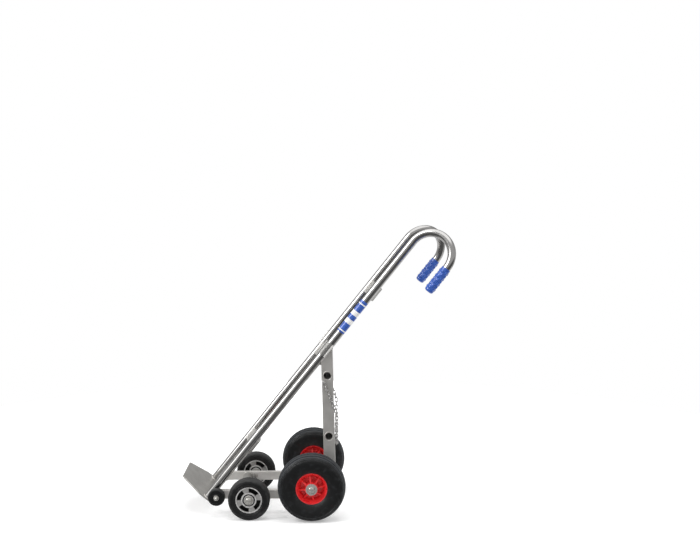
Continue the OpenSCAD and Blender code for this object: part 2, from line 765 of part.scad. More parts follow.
module medium_hub(right) {
  rim_in = med_hub_r - med_rim_t;
  boss_r = med_boss_d / 2;
  bore_r = med_bearing_d / 2 - bearing_lip;
  collar_r = med_bearing_d / 2 + med_rim_t;
  groove_r = (collar_r + boss_r) / 2;
  rim = med_rim_w / 2;
  disc = med_disc / 2;
  window_edge = 1;
  window_turn = 28;
  outline = [[bore_r, med_boss_l / 2], [collar_r, med_boss_l / 2], [collar_r, rim - med_groove],
    [groove_r, rim - med_groove], [groove_r, rim], [boss_r, rim], [boss_r, disc], [rim_in, disc],
    [rim_in, rim], [med_hub_r, rim]];
  color("darkgray") on_side(right) on_axis(med_x, rail_z, med_y) difference() {
    rotate_extrude() polygon(both_sides(outline));
    for (i = [0:med_windows - 1], low = [med_web / 2, -med_disc])
      rotate([0, 0, 360 / med_windows * i + window_turn + med_spoke / 2 - 180 / med_windows])
        translate([0, 0, low]) rotate_extrude(angle = 360 / med_windows - med_spoke)
          translate([boss_r + window_edge, 0])
            square([rim_in - boss_r - 2 * window_edge, med_disc - med_web / 2]);
    for (side = [0, 1]) rotate([180 * side, 0, 0]) translate([0, 0, med_boss_l / 2 - med_bearing_l])
      cylinder(d = med_bearing_d, h = med_bearing_l + past);
  }
}
module left_medium_hub() { medium_hub(false); }
module right_medium_hub() { medium_hub(true); }

module medium_bearings(right) {
  on_side(right) bearings(med_x, rail_z, med_y, med_boss_l, med_bearing_d, med_bearing_l);
}
module left_medium_bearings() { medium_bearings(false); }
module right_medium_bearings() { medium_bearings(true); }

// Toe rollers on their bolts

module toe_roller(right) {
  r = roller_d / 2;
  w = roller_w / 2;
  bush_r = roller_bolt_d / 2 + running_fit + bush_wall;
  edge = 0.15 * r;
  arc = [for (a = [0:15:90]) [r - edge + edge * cos(a), w - edge + edge * sin(a)]];
  outline = concat([[r, 0]], arc,
    [[r - 2 * edge, w], [r - 2 * edge - roller_recess, w - roller_recess],
     [bush_r + 2 * roller_recess, w - roller_recess], [bush_r + roller_recess, w], [bush_r, w]]);
  color("black") on_side(right) on_axis(roller_x, roller_h, roller_y) rotate_extrude()
    polygon(both_sides(outline));
}
module left_toe_roller() { toe_roller(false); }
module right_toe_roller() { toe_roller(true); }

module roller_bush(right) {
  r = roller_bolt_d / 2 + running_fit;
  color("goldenrod") on_side(right) on_axis(roller_x, roller_h, roller_y - roller_w / 2 - bush_play)
    ring(r + bush_wall, r, roller_w + 2 * bush_play);
}
module left_roller_bush() { roller_bush(false); }
module right_roller_bush() { roller_bush(true); }

module roller_bolts() {
  head = head_h(roller_bolt_d);
  tip = roller_nut_y + nut_h(roller_bolt_d);
  color("silver") both() on_axis(roller_x, roller_h, inner_y) {
    translate([0, 0, -head]) cylinder(d = hex_d(roller_bolt_d), h = head, $fn = 6);
    cylinder(d = roller_bolt_d, h = tip - inner_y);
  }
}

module roller_spacers() {
  r = roller_bolt_d / 2 + pin_gap;
  color("silver") both() on_axis(roller_x, roller_h, outer_y)
    ring(r + roller_spacer_wall, r, roller_y - roller_w / 2 - 2 * bush_play - outer_y);
}

module roller_washers() {
  r = roller_bolt_d / 2 + pin_gap;
  color("silver") both() on_axis(roller_x, roller_h, roller_washer_y)
    ring(2 * r, r, roller_washer_t);
}

module roller_nuts() {
  nut = nut_h(roller_bolt_d);
  dome_r = (hex_d(roller_bolt_d) + roller_bolt_d) / 4;
  color("silver") both() on_axis(roller_x, roller_h, roller_nut_y) difference() {
    union() {
      cylinder(d = hex_d(roller_bolt_d), h = nut, $fn = 6);
      rotate_extrude() intersection() {
        translate([0, nut]) circle(dome_r);
        translate([0, nut - past]) square([dome_r, dome_r + past]);
      }
    }
    translate([0, 0, -past]) cylinder(r = roller_bolt_d / 2 + pin_gap, h = nut + past + pin_gap);
  }
}

// Safety chain

module wire_bend(r, d, angle) {
  rotate_extrude(angle = angle) translate([r, 0]) circle(d = d);
}

module link() {
  for (end = [0, 180]) rotate([0, 0, end]) {
    translate([link_straight / 2, 0, 0]) rotate([0, 0, -90]) wire_bend(link_r, wire_d, 180);
    translate([-link_straight / 2, link_r, 0]) rotate([0, 90, 0]) cylinder(d = wire_d, h = link_straight);
  }
}

// Links lie flat on the surface and stand off it by turns
module links(from, to) {
  color("gainsboro") for (i = [from:to - 1]) on_chain(i, 1) rotate([90 * (i % 2), 0, 0]) link();
}
module left_chain_wrap() { links(0, swag_first); }
module chain_swag() { links(swag_first, chain_steps - swag_first); }
module right_chain_wrap() { links(chain_steps - swag_first, hook_at); }

module chain_eye(right) {
  t = [sin(chain_slant), 0, -cos(chain_slant)];
  color("silver") on_side(right)
    multmatrix([[t.x, -t.z, 0, eye_x], [0, 0, 1, outer_y], [t.z, t.x, 0, eye_h]]) {
      for (x = [-1, 1]) translate([x * eye_half, 0, 0]) cylinder(d = eye_wire, h = stand);
      translate([0, 0, stand]) rotate([90, 0, 0]) wire_bend(eye_half, eye_wire, 180);
    }
}
module left_chain_eye() { chain_eye(false); }
module right_chain_eye() { chain_eye(true); }

// An open hook of one bent wire: a loop for the last link, a shank and a bend over the eye
module chain_hook() {
  bend_x = hundredths(link_step / 2 + crown - hook_r);
  color("gainsboro") on_chain(hook_at, 2) {
    translate([-bend_x, 0, 0]) {
      wire_bend(hook_r, wire_d, 90);
      rotate([0, 0, 90]) wire_bend(hook_r, wire_d, 180);
    }
    translate([-bend_x, -hook_r, 0]) rotate([0, 90, 0]) cylinder(d = wire_d, h = 2 * bend_x);
    translate([bend_x, 0, 0]) rotate([0, 0, -90]) wire_bend(hook_r, wire_d, hook_wrap);
  }
}

echo(swing_left = crown_at(swag_first), swing_right = crown_at(chain_steps - swag_first));
echo(links = hook_at, step = link_step, big_x = big_x, med_x = med_x, roller_x = roller_x, foot_x = foot_x,
  upper_cross_h = upper_cross_h, eye_h = eye_h, saddle_s = saddle_s);

left_side_tube();
right_side_tube();
left_grip();
right_grip();
left_strut();
right_strut();
left_saddle();
right_saddle();
left_rail();
right_rail();
rail_end_caps();
upper_cross_tube();
lower_cross_tube();
front_cross_tube();
upper_cradle_strap();
middle_cradle_strap();
lower_cradle_strap();
toe_plate();
left_axle_lug();
right_axle_lug();
lug_bolts();
lug_nuts();
big_axle();
big_axle_spacers();
big_axle_washers();
big_axle_caps();
medium_axle();
medium_axle_spacers();
medium_axle_washers();
medium_axle_caps();
roller_bolts();
roller_spacers();
roller_washers();
roller_nuts();
left_big_tyre();
left_big_hub();
left_big_bearings();
right_big_tyre();
right_big_hub();
right_big_bearings();
left_medium_tyre();
left_medium_hub();
left_medium_bearings();
right_medium_tyre();
right_medium_hub();
right_medium_bearings();
left_toe_roller();
left_roller_bush();
right_toe_roller();
right_roller_bush();
left_chain_eye();
right_chain_eye();
left_chain_wrap();
right_chain_wrap();
chain_swag();
chain_hook();
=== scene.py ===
# Gas cylinder trolley: the looks of every piece, in the order in which it is put together.
# All sizes are in metres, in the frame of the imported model.

import json
import math

import bmesh
import bpy
from mathutils import Matrix, Vector


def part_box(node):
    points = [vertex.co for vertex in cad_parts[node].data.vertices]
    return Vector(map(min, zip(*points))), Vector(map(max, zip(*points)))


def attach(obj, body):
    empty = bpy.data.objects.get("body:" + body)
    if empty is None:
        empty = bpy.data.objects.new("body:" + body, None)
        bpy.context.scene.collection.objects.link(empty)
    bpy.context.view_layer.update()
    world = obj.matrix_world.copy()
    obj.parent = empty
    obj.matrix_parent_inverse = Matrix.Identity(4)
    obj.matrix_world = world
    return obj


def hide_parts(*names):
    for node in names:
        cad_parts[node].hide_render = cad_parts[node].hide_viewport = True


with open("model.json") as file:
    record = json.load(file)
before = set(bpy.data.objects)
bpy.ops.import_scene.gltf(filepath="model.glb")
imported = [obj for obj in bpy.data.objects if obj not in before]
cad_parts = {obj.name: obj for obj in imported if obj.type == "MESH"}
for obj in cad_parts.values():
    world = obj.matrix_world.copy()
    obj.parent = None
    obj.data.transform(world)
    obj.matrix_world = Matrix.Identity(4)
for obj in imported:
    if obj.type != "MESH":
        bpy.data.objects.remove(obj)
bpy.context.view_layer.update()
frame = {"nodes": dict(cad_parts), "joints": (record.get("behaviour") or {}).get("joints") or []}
nodes = frame["nodes"]
scene = bpy.context.scene
scene.view_settings.view_transform = "Standard"


# The studio: a pale floor that fades into a white surround, with soft boxes high on the left,
# overhead and behind. Polished metal mirrors a grey room with a bright window high on the left
# and a dark ground in front of the trolley. The camera stands four metres off.
camera = bpy.data.objects.new("camera", bpy.data.cameras.new("camera"))
scene.collection.objects.link(camera)
camera.data.sensor_width = 36.0
camera.data.lens = 55.1
camera.location = (0.0620, -4.218, 1.3073)
camera.rotation_euler = (math.radians(90 - 4.816), 0, math.radians(-0.930))
scene.camera = camera


def wire(tree, *steps):
    """Joins pairs of sockets in a node tree."""
    for out, into in steps:
        tree.links.new(out, into)


def blend_by(tree, share, low, high):
    """A number that runs from low to high with the share; each may be a socket or a number."""
    mix = tree.nodes.new("ShaderNodeMix")
    for socket, value in ((mix.inputs[0], share), (mix.inputs[2], low), (mix.inputs[3], high)):
        if isinstance(value, (int, float)):
            socket.default_value = value
        else:
            tree.links.new(value, socket)
    return mix.outputs[0]


def ramp(tree, value, start, end, low, high):
    """A smooth step from low to high while the value goes from start to end."""
    step = tree.nodes.new("ShaderNodeMapRange")
    step.interpolation_type = "SMOOTHSTEP"
    for name, number in (("From Min", start), ("From Max", end), ("To Min", low), ("To Max", high)):
        step.inputs[name].default_value = number
    tree.links.new(value, step.inputs["Value"])
    return step.outputs["Result"]


ambient = 0.72
window_at = Vector((-0.72, -0.31, 0.62)).normalized()
window_glow = 6.0
ceiling_glow = 1.3
world = bpy.data.worlds.new("studio")
world.use_nodes = True
scene.world = world
tree = world.node_tree
rays = tree.nodes.new("ShaderNodeLightPath")
look = tree.nodes.new("ShaderNodeTexCoord")
parts = tree.nodes.new("ShaderNodeSeparateXYZ")
wire(tree, (look.outputs["Generated"], parts.inputs[0]))
room_front = ramp(tree, parts.outputs["Z"], -0.12, 0.14, 0.09, 0.46)
room_behind = ramp(tree, parts.outputs["Z"], -0.2, 0.4, 0.5, 0.34)
mirrored = blend_by(tree, ramp(tree, parts.outputs["Y"], -0.35, 0.55, 0, 1), room_front, room_behind)
window = tree.nodes.new("ShaderNodeVectorMath")
window.operation = "DOT_PRODUCT"
window.inputs[1].default_value = window_at
wire(tree, (look.outputs["Generated"], window.inputs[0]))
pane = ramp(tree, window.outputs["Value"], 0.93, 0.98, 0, 1)
mirrored = blend_by(tree, pane, mirrored, window_glow)
ceiling = ramp(tree, parts.outputs["Z"], 0.68, 0.85, 0, 1)
mirrored = blend_by(tree, ceiling, mirrored, ceiling_glow)
level = blend_by(tree, rays.outputs["Is Glossy Ray"], ambient, mirrored)
level = blend_by(tree, rays.outputs["Is Transmission Ray"], level, 1.0)
level = blend_by(tree, rays.outputs["Is Camera Ray"], level, 1.0)
wire(tree, (level, tree.nodes["Background"].inputs["Strength"]))
tree.nodes["Background"].inputs["Color"].default_value = (1, 1, 1, 1)


def soft_box(name, place, aim, width, height, watts):
    """A lamp with a broad face, which polished metal doesn't mirror."""
    lamp = bpy.data.objects.new(name, bpy.data.lights.new(name, "AREA"))
    scene.collection.objects.link(lamp)
    lamp.data.shape = "RECTANGLE"
    lamp.data.size = width
    lamp.data.size_y = height
    lamp.data.energy = watts
    lamp.visible_glossy = False
    lamp.location = place
    lamp.rotation_euler = (Vector(aim) - Vector(place)).to_track_quat("-Z", "Y").to_euler()


soft_box("key_light", (-3.6, -1.7, 3.6), (0, 0, 0.5), 1.6, 2.6, 110)
soft_box("top_light", (0.4, -0.6, 4.6), (0, 0, 0.4), 3.0, 2.0, 70)
soft_box("back_light", (2.6, 2.8, 2.6), (0.2, 0, 0.5), 2.0, 2.0, 50)

floor_r = 2.6
floor_mesh = bpy.data.meshes.new("floor")
disc = bmesh.new()
bmesh.ops.create_circle(disc, cap_ends=True, segments=96, radius=floor_r)
disc.to_mesh(floor_mesh)
disc.free()
floor = bpy.data.objects.new("floor", floor_mesh)
scene.collection.objects.link(floor)
paint = bpy.data.materials.new("pale_floor")
paint.use_nodes = True
floor_mesh.materials.append(paint)
tree = paint.node_tree
shader = tree.nodes["Principled BSDF"]
shader.inputs["Roughness"].default_value = 0.9
shader.inputs["Specular IOR Level"].default_value = 0.1
shader.inputs["Emission Color"].default_value = (1, 1, 1, 1)
where = tree.nodes.new("ShaderNodeNewGeometry")
parts = tree.nodes.new("ShaderNodeSeparateXYZ")
distance = tree.nodes.new("ShaderNodeVectorMath")
distance.operation = "LENGTH"
rays = tree.nodes.new("ShaderNodeLightPath")
place = where.outputs["Position"]
wire(tree, (place, distance.inputs[0]), (place, parts.inputs[0]))
glow = ramp(tree, distance.outputs["Value"], 0.5, 2.3, 0.3, 1.0)
glow = blend_by(tree, rays.outputs["Is Camera Ray"], 0.0, glow)
wire(tree, (glow, shader.inputs["Emission Strength"]))
ground = ramp(tree, parts.outputs["Y"], -0.75, 0.25, 0.07, 0.55)
ground = blend_by(tree, rays.outputs["Is Glossy Ray"], 0.8, ground)
grey = tree.nodes.new("ShaderNodeCombineColor")
wire(tree, *((ground, channel) for channel in grey.inputs))
wire(tree, (grey.outputs[0], shader.inputs["Base Color"]))


# Side tubes: two round steel tubes, bent cold into a cane at the top and polished bright
# along their length. Fine polishing lines run up each tube, with a few dull patches.
def finish(name, metal=0.0, **plain):
    """A material, its tree and its shader; plain are values that are the same all over."""
    made = bpy.data.materials.new(name)
    made.use_nodes = True
    made_shader = made.node_tree.nodes["Principled BSDF"]
    made_shader.inputs["Metallic"].default_value = metal
    for socket, value in plain.items():
        made_shader.inputs[socket.replace("_", " ")].default_value = value
    return made, made.node_tree, made_shader


def noise(tree, size, drawn=(1, 1, 1), turn=(0, 0, 0), detail=4):
    """Noise with features of a size in metres, drawn out by factors along its turned axes."""
    spot = tree.nodes.new("ShaderNodeTexCoord")
    lay = tree.nodes.new("ShaderNodeMapping")
    lay.vector_type = "TEXTURE"
    lay.inputs["Rotation"].default_value = turn
    lay.inputs["Scale"].default_value = [size * factor for factor in drawn]
    cloud = tree.nodes.new("ShaderNodeTexNoise")
    cloud.inputs["Scale"].default_value = 1
    cloud.inputs["Detail"].default_value = detail
    wire(tree, (spot.outputs["Object"], lay.inputs["Vector"]))
    wire(tree, (lay.outputs["Vector"], cloud.inputs["Vector"]))
    return cloud.outputs["Fac"]


def tint(tree, shader, value, dark, light):
    """Base colour that drifts from dark to light with a value; returns its colour stops."""
    colours = tree.nodes.new("ShaderNodeValToRGB")
    for stop, (place, colour) in zip(colours.color_ramp.elements, ((0.32, dark), (0.68, light))):
        stop.position = place
        stop.color = (*colour, 1)
    wire(tree, (value, colours.inputs["Fac"]))
    wire(tree, (colours.outputs["Color"], shader.inputs["Base Color"]))
    return colours.color_ramp.elements


def rough(tree, shader, value, low, high):
    """Roughness that drifts from low to high with a value."""
    wire(tree, (ramp(tree, value, 0.3, 0.7, low, high), shader.inputs["Roughness"]))


def relief(tree, shader, value, height):
    """Bumps of a height in metres."""
    bump = tree.nodes.new("ShaderNodeBump")
    bump.inputs["Distance"].default_value = height
    wire(tree, (value, bump.inputs["Height"]), (bump.outputs["Normal"], shader.inputs["Normal"]))


def dress(material, *names):
    """Gives a material to the solids of these names."""
    for name in names:
        nodes[name].data.materials.clear()
        nodes[name].data.materials.append(material)


recline = math.radians(38.6)
polished, tree, shader = finish("polished_tube", metal=1.0)
lines = noise(tree, 0.0012, drawn=(1, 1, 90), turn=(0, recline, 0))
smear = noise(tree, 0.05, drawn=(1, 1, 3), turn=(0, recline, 0))
tint(tree, shader, smear, (0.55, 0.54, 0.53), (0.68, 0.67, 0.655))
rough(tree, shader, smear, 0.08, 0.18)
relief(tree, shader, lines, 0.00001)
dress(polished, "left_side_tube", "right_side_tube")


# Frame steel: box section, round tube, strip and plate in plain satin steel, brushed along
# its length. The rails and cross tubes run level and the struts stand upright.
def satin(name, metal, dark, light, drawn, turn=(0, 0, 0)):
    """Steel with brush marks drawn out by factors along turned axes."""
    made, tree, shader = finish(name, metal=metal)
    brush = noise(tree, 0.0007, drawn=drawn, turn=turn, detail=3)
    cloud = noise(tree, 0.035)
    tint(tree, shader, cloud, dark, light)
    rough(tree, shader, brush, 0.38, 0.54)
    relief(tree, shader, brush, 0.00001)
    return made


leaning = (0, recline, 0)
# The rails' steel is lighter than the struts': painted light that lifts the shade falling on the rails
# between the wheels.
rail_steel_painted_light = satin("rail_steel_painted_light", 0.6, (0.68, 0.66, 0.635), (0.78, 0.76, 0.73), (60, 1, 1))
strut_steel = satin("strut_steel", 0.7, (0.57, 0.555, 0.53), (0.66, 0.645, 0.62), (1, 1, 60))
strip_steel = satin("strip_steel", 0.7, (0.40, 0.39, 0.37), (0.48, 0.47, 0.45), (1, 60, 1), leaning)
saddle_steel = satin("saddle_steel", 0.7, (0.29, 0.285, 0.275), (0.36, 0.355, 0.34), (1, 1, 60), leaning)
dress(rail_steel_painted_light, "left_rail", "right_rail", "left_axle_lug", "right_axle_lug")
dress(strut_steel, "left_strut", "right_strut")
dress(saddle_steel, "left_saddle", "right_saddle")
dress(strip_steel, "upper_cross_tube", "lower_cross_tube", "front_cross_tube", "upper_cradle_strap",
      "middle_cradle_strap", "lower_cradle_strap", "toe_plate")


# Weld beads: every joint of the frame is welded all round. A bead is a row of small overlapping
# ripples, browned by the heat and a little lighter than the steel beside it, a painted highlight
# along each joint. The long beads along the saddles are lighter still, a painted highlight along
# the saddles' edges.
# Lighter than the frame steel beside it: a painted highlight along each joint.
bead_steel_painted_highlight, tree, shader = finish("bead_steel_painted_highlight", metal=0.7)
cloud = noise(tree, 0.004)
tint(tree, shader, cloud, (0.58, 0.555, 0.52), (0.82, 0.80, 0.77))
rough(tree, shader, cloud, 0.28, 0.45)
relief(tree, shader, noise(tree, 0.0006), 0.00008)

# Lighter still, for the long beads on the saddles: a painted highlight along the saddles' edges.
painted_highlight_bead, tree, shader = finish("painted_highlight_bead", metal=0.35)
cloud = noise(tree, 0.004)
tint(tree, shader, cloud, (0.72, 0.705, 0.68), (0.88, 0.87, 0.85))
rough(tree, shader, cloud, 0.28, 0.42)
relief(tree, shader, noise(tree, 0.0006), 0.00008)

pivots = {joint["child"]: Vector(joint["pos_m"]) for joint in frame["joints"]}
side_y = 0.130
tube_r = 0.016
box_half = 0.010
foot_reach = 0.406
foot_h = 0.0667
foot = Vector((pivots["left_big_wheel"].x - foot_reach, 0, foot_h))
up_tube = Vector((math.sin(recline), 0, math.cos(recline)))
behind = Vector((math.cos(recline), 0, -math.sin(recline)))


def on_tubes(s, n, y):
    """A point s up the side tubes from their feet, n out behind them and y across."""
    return foot + s * up_tube + n * behind + Vector((0, y, 0))


def evenly(corners, closed, gap):
    """Points at an even gap along a line through the corners."""
    ends = corners + corners[:1] if closed else corners
    spans = [(b - a).length for a, b in zip(ends, ends[1:])]
    steps = max(6, round(sum(spans) / gap))
    points = []
    leg, passed = 0, 0.0
    for step in range(steps if closed else steps + 1):
        want = sum(spans) * step / steps
        while leg < len(spans) - 1 and passed + spans[leg] < want:
            passed += spans[leg]
            leg += 1
        points.append(ends[leg].lerp(ends[leg + 1], (want - passed) / spans[leg]))
    return points


def piece(name, shape, body, slot, *materials):
    """A new smooth piece from a bmesh, which moves with a body."""
    bmesh.ops.recalc_face_normals(shape, faces=shape.faces)
    mesh = bpy.data.meshes.new(name)
    shape.to_mesh(mesh)
    shape.free()
    mesh.polygons.foreach_set("use_smooth", [True] * len(mesh.polygons))
    for material in materials:
        mesh.materials.append(material)
    made = bpy.data.objects.new(name, mesh)
    scene.collection.objects.link(made)
    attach(made, body)
    return made


ripple = (0.84, 1.1, 1.0)
ripple_gap = 0.0009
bead_sides = 8


def beads(name, girth, *runs, closed=True, steel=bead_steel_painted_highlight):
    """Weld beads of one girth along several runs of corner points."""
    shape = bmesh.new()
    for run in runs:
        points = evenly(run, closed, ripple_gap)
        middle = sum(points, Vector()) / len(points)
        rings = []
        for i, point in enumerate(points):
            after = points[(i + 1) % len(points)] if closed else points[min(i + 1, len(points) - 1)]
            before = points[i - 1] if closed else points[max(i - 1, 0)]
            ahead = (after - before).normalized()
            out = point - middle if closed else behind + Vector((0, 0.3, 0))
            out = (out - ahead * out.dot(ahead)).normalized()
            side = ahead.cross(out)
            r = girth * ripple[i % len(ripple)]
            if not closed and i in (0, len(points) - 1):
                r *= 0.5
            ring = []
            for k in range(bead_sides):
                a = 2 * math.pi * k / bead_sides
                ring.append(shape.verts.new(point + r * (math.cos(a) * out + math.sin(a) * side)))
            rings.append(ring)
        for ring, following in zip(rings, rings[1:] + rings[:1] if closed else rings[1:]):
            for k in range(bead_sides):
                j = (k + 1) % bead_sides
                shape.faces.new((ring[k], ring[j], following[j], following[k]))
        if not closed:
            shape.faces.new(rings[0])
            shape.faces.new(rings[-1])
    return piece(name, shape, "frame", "frame_steel", steel)


def hoop(centre, r, first, second, count=48):
    """Points of a circle in the plane of two directions."""
    turns = [2 * math.pi * k / count for k in range(count)]
    return [centre + r * (math.cos(a) * first + math.sin(a) * second) for a in turns]


def box_edge(half, count=10):
    """Places round a box section, as a pair: across its width and across its thickness."""
    corners = [(-half, -box_half), (half, -box_half), (half, box_half), (-half, box_half)]
    for (u, v), (w, x) in zip(corners, corners[1:] + corners[:1]):
        for k in range(count):
            yield u + (w - u) * k / count, v + (x - v) * k / count


def behind_tube(v):
    """How far behind the plane of the tubes a tube's surface is, v off the tube's middle."""
    return math.sqrt(tube_r ** 2 - v ** 2)


rail_half = 0.0175
rail_z = 0.080
strut_half = 0.022
strut_lean = math.radians(1.4)
strut_back = 0.071
strut_foot = Vector((pivots["left_big_wheel"].x + strut_back, 0, rail_z + rail_half))
up_strut = Vector((-math.sin(strut_lean), 0, math.cos(strut_lean)))
across_strut = Vector((math.cos(strut_lean), 0, math.sin(strut_lean)))
x_axis = Vector((1, 0, 0))
y_axis = Vector((0, 1, 0))
z_axis = Vector((0, 0, 1))


def to_tube(start, run, n):
    """Where a line from start meets a plane n behind the tubes."""
    return start + run * ((n - (start - foot).dot(behind)) / run.dot(behind))


strut_tops = []
strut_feet = []
rail_fronts = []
saddle_edges = []
tube_feet = []
strap_ends = []
saddle_s = (to_tube(strut_foot, up_strut, 0) - foot).dot(up_tube)
saddle_half = 0.0285
saddle_r = tube_r + 0.0012
saddle_turns = (58, 205)
load_r = 0.1875
load_n = math.sqrt((load_r + tube_r) ** 2 - side_y ** 2)
strap_r = 0.190
strap_half = 0.029
strap_places = (1.021, saddle_s - 0.045, 0.245)
for side in (-1, 1):
    middle = Vector((0, side * side_y, 0))
    strut_top = []
    for u, v in box_edge(strut_half):
        start = strut_foot + u * across_strut
        strut_top.append(to_tube(start, up_strut, behind_tube(v)) + middle + v * y_axis)
    strut_tops.append(strut_top)
    strut_feet.append([strut_foot + u * x_axis + middle + v * y_axis for u, v in box_edge(strut_half)])
    rail_fronts.append([to_tube(Vector((0, 0, rail_z + u)), x_axis, behind_tube(v)) + middle + v * y_axis
                        for u, v in box_edge(rail_half)])
    for turn in saddle_turns:
        n = saddle_r * math.cos(math.radians(turn))
        y = side * (side_y + saddle_r * math.sin(math.radians(turn)))
        saddle_edges.append([on_tubes(saddle_s + end * saddle_half, n, y) for end in (-1, 1)])
    tube_feet.append(hoop(on_tubes(0.0006, 0, side * side_y), tube_r + 0.0004, behind, y_axis))
    reach = math.hypot(side_y, load_n)
    along = (strap_r ** 2 - tube_r ** 2 + reach ** 2) / (2 * reach)
    lift = math.sqrt(strap_r ** 2 - along ** 2)
    n = -load_n + (along * load_n + lift * side_y) / reach
    y = side * (along * side_y - lift * load_n) / reach
    for s in strap_places:
        strap_ends.append([on_tubes(s + end * strap_half, n, y) for end in (-1, 1)])

cross_r = 0.01685
cross_ends = []
for name in ("upper_cross_tube", "lower_cross_tube", "front_cross_tube"):
    low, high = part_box(name)
    faces = (high.y,) if name == "front_cross_tube" else (high.y, high.y - 2 * box_half)
    for face in faces:
        for side in (-1, 1):
            centre = (low + high) / 2 + side * face * y_axis
            cross_ends.append(hoop(centre, cross_r, x_axis, z_axis))

beads("strut_top_beads", 0.0024, *strut_tops)
beads("strut_foot_beads", 0.0019, *strut_feet)
beads("rail_front_beads", 0.0022, *rail_fronts)
beads("cross_tube_beads", 0.0016, *cross_ends)
beads("tube_foot_beads", 0.0022, *tube_feet)
beads("saddle_beads", 0.0046, *saddle_edges, closed=False, steel=painted_highlight_bead)
beads("strap_beads", 0.0026, *strap_ends, closed=False)


# Rail end caps: black plastic plugs pushed into the open rear ends of the rails. Their faces
# have a fine moulded grain.
cap_plastic, tree, shader = finish("cap_plastic")
cloud = noise(tree, 0.006)
tint(tree, shader, cloud, (0.012, 0.012, 0.013), (0.022, 0.022, 0.023))
rough(tree, shader, cloud, 0.42, 0.58)
relief(tree, shader, noise(tree, 0.0005), 0.00006)
dress(cap_plastic, "rail_end_caps")


# Axles and fixings: ground axles, zinc-plated bolts, nuts, spacers and washers. The plating is
# slightly mottled and dulls where a spanner or a wheel has rubbed it.
zinc, tree, shader = finish("zinc_plate", metal=0.65)
cloud = noise(tree, 0.004)
tint(tree, shader, cloud, (0.58, 0.565, 0.53), (0.70, 0.685, 0.65))
rough(tree, shader, noise(tree, 0.0015), 0.24, 0.42)
relief(tree, shader, noise(tree, 0.0007), 0.00003)
dress(zinc, "lug_bolts", "lug_nuts", "big_axle_spacers", "big_axle_washers", "medium_axle_spacers",
      "medium_axle_washers", "roller_bolts", "roller_spacers", "roller_washers")

ground_steel, tree, shader = finish("ground_steel", metal=1.0)
turned = noise(tree, 0.0006, drawn=(1, 0.3, 1))
tint(tree, shader, noise(tree, 0.01), (0.42, 0.41, 0.40), (0.52, 0.51, 0.50))
rough(tree, shader, turned, 0.2, 0.34)
relief(tree, shader, turned, 0.00001)
dress(ground_steel, "big_axle", "medium_axle", "left_big_bearings", "right_big_bearings",
      "left_medium_bearings", "right_medium_bearings")


# Axle caps: pressed steel caps over the axle ends and domed nuts on the roller bolts, plated
# bright, with a light haze of fine scratches.
bright_cap, tree, shader = finish("bright_cap", metal=0.75)
haze = noise(tree, 0.002)
tint(tree, shader, haze, (0.58, 0.565, 0.53), (0.70, 0.685, 0.65))
rough(tree, shader, haze, 0.12, 0.26)
relief(tree, shader, noise(tree, 0.0008), 0.00002)
dress(bright_cap, "big_axle_caps", "medium_axle_caps", "roller_nuts")


# Big wheels: solid puncture-proof tyres in black rubber with grooved treads, moulded on to
# glossy red hubs with ribs between the rim and the boss. The rubber turns lighter towards its
# tread, partly dust and partly a painted sheen, and smooth rings are moulded on its shoulders.
def radius_from(tree, pivot):
    """Distance of a point of the surface from an axis across the trolley."""
    spot = tree.nodes.new("ShaderNodeTexCoord")
    off = tree.nodes.new("ShaderNodeVectorMath")
    off.operation = "SUBTRACT"
    off.inputs[1].default_value = (pivot.x, 0, pivot.z)
    flat = tree.nodes.new("ShaderNodeVectorMath")
    flat.operation = "MULTIPLY"
    flat.inputs[1].default_value = (1, 0, 1)
    size = tree.nodes.new("ShaderNodeVectorMath")
    size.operation = "LENGTH"
    wire(tree, (spot.outputs["Object"], off.inputs[0]), (off.outputs["Vector"], flat.inputs[0]),
         (flat.outputs["Vector"], size.inputs[0]))
    return size.outputs["Value"]


def combine(tree, operation, first, second=None):
    """One sum on a value and, for most sums, a second value or number."""
    step = tree.nodes.new("ShaderNodeMath")
    step.operation = operation
    wire(tree, (first, step.inputs[0]))
    if isinstance(second, (int, float)):
        step.inputs[1].default_value = second
    elif second is not None:
        wire(tree, (second, step.inputs[1]))
    return step.outputs[0]


def rubber(name, pivot, tread_r, clean, dust_and_sheen_colour):
    """Matt rubber that turns lighter towards a tread of this radius: dust and wear, with a painted sheen
    on the tyres' treads.
    """
    made, tree, shader = finish(name, Specular_IOR_Level=0.42)
    cloud = noise(tree, 0.018)
    # Lighter towards the tread: dust, and on the tyres a painted sheen.
    dust_and_sheen = ramp(tree, radius_from(tree, pivot), 0.82 * tread_r, 0.97 * tread_r, -0.22, 0.20)
    share = combine(tree, "ADD", cloud, dust_and_sheen)
    tint(tree, shader, share, clean, dust_and_sheen_colour)
    rough(tree, shader, share, 0.38, 0.56)
    relief(tree, shader, noise(tree, 0.0009), 0.00012)
    return made


# The bluish-grey tread colour is dust and a painted sheen.
big_rubber = rubber("big_tyre_rubber", pivots["left_big_wheel"], 0.130,
                    (0.0065, 0.007, 0.0075), (0.033, 0.036, 0.040))
dress(big_rubber, "left_big_tyre", "right_big_tyre")


def moulded_rings(name, body, rings, girth, slot, material):
    """Thin rings moulded on both walls of a tyre: pairs of a radius and a place across it."""
    shape = bmesh.new()
    count = 96
    sides = 6
    for r, y in rings:
        for wall in (-1, 1):
            centre = pivots[body] + wall * y * y_axis
            rows = []
            for k in range(sides):
                a = 2 * math.pi * k / sides
                lifted = centre + girth * math.sin(a) * y_axis
                circle = hoop(lifted, r + girth * math.cos(a), x_axis, z_axis, count)
                rows.append([shape.verts.new(point) for point in circle])
            for row, following in zip(rows, rows[1:] + rows[:1]):
                for i in range(count):
                    j = (i + 1) % count
                    shape.faces.new((row[i], row[j], following[j], following[i]))
    piece(name, shape, body, slot, material)


